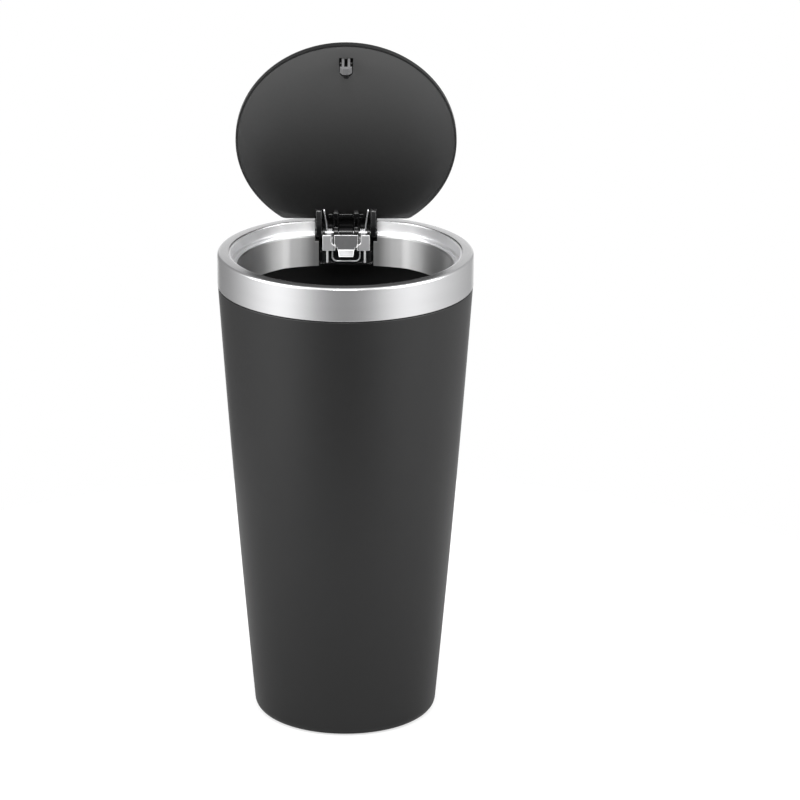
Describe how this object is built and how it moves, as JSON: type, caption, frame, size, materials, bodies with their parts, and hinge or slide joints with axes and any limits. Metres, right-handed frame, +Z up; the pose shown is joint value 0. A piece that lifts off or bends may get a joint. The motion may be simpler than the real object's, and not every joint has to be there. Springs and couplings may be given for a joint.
{
  "type": "car trash bin",
  "caption": "Small tapered bin for a car cup holder, with a lift-off metal collar, a sprung flip lid and a push latch.",
  "frame": {"origin": "centre of the base on the surface it stands on, on the bin's axis", "axes": "+Z up along the bin's axis, +Y to the hinge at the back, +X across to the right of someone facing the hinge"},
  "size_m": [0.088, 0.088, 0.2355],
  "materials": {
    "shell_plastic": "fine matte charcoal texture",
    "collar_metal": "satin silver, turned",
    "insert_metal": "bright satin silver",
    "black_plastic": "black moulded plastic",
    "lid_plastic": "satin dark grey",
    "grey_plastic": "grey moulded acetal",
    "white_plastic": "natural acetal",
    "stamped_steel": "plated sheet steel",
    "spring_wire": "bright spring wire",
    "steel": "plated steel"
  },
  "bodies": {
    "shell": {"shell": "shell_plastic"},
    "collar": {"collar_band": "collar_metal", "collar_insert": "insert_metal", "hinge_carrier": "black_plastic", "carrier_screws": "steel", "hinge_cover": "stamped_steel", "hinge_pin": "steel", "lid_spring": "spring_wire", "latch_housing": "black_plastic", "latch_screws": "steel", "latch_spring": "spring_wire", "latch_follower": "spring_wire"},
    "lid": {"lid_cover": "lid_plastic", "lid_panel": "lid_plastic", "striker": "grey_plastic", "striker_screw": "steel"},
    "plunger": {"latch_plunger": "white_plastic", "jaw_pins": "steel"},
    "left_jaw": {"jaw_left": "white_plastic"},
    "right_jaw": {"jaw_right": "white_plastic"}
  },
  "joints": [
    {"name": "collar_lift", "type": "slide", "parent": "shell", "child": "collar", "axis": [0, 0, 1], "range_m": [0, 0.04]},
    {"name": "lid_hinge", "type": "hinge", "parent": "collar", "child": "lid", "pos_m": [0, 0.0361, 0.1627], "axis": [1, 0, 0], "range_deg": [0, 74.5], "stiffness_Nm_per_rad": 0.006, "springref_deg": -68.75, "deforming": ["lid_spring"]},
    {"name": "latch_plunge", "type": "slide", "parent": "collar", "child": "plunger", "axis": [0, 0, -1], "range_m": [0, 0.0025], "stiffness_N_per_m": 400, "springref_m": -0.003, "deforming": ["latch_spring"]},
    {"name": "jaw_left_turn", "type": "hinge", "parent": "plunger", "child": "left_jaw", "pos_m": [-0.00275, -0.032, 0.1546], "axis": [0, 1, 0], "range_deg": [0, 5.3]},
    {"name": "jaw_right_turn", "type": "hinge", "parent": "plunger", "child": "right_jaw", "pos_m": [0.00275, -0.032, 0.1546], "axis": [0, -1, 0], "range_deg": [0, 5.3]}
  ],
  "couplings": [
    {"joint": "jaw_left_turn", "follows": "latch_plunge", "rad_per_m": 36.9},
    {"joint": "jaw_right_turn", "follows": "latch_plunge", "rad_per_m": 36.9}
  ]
}
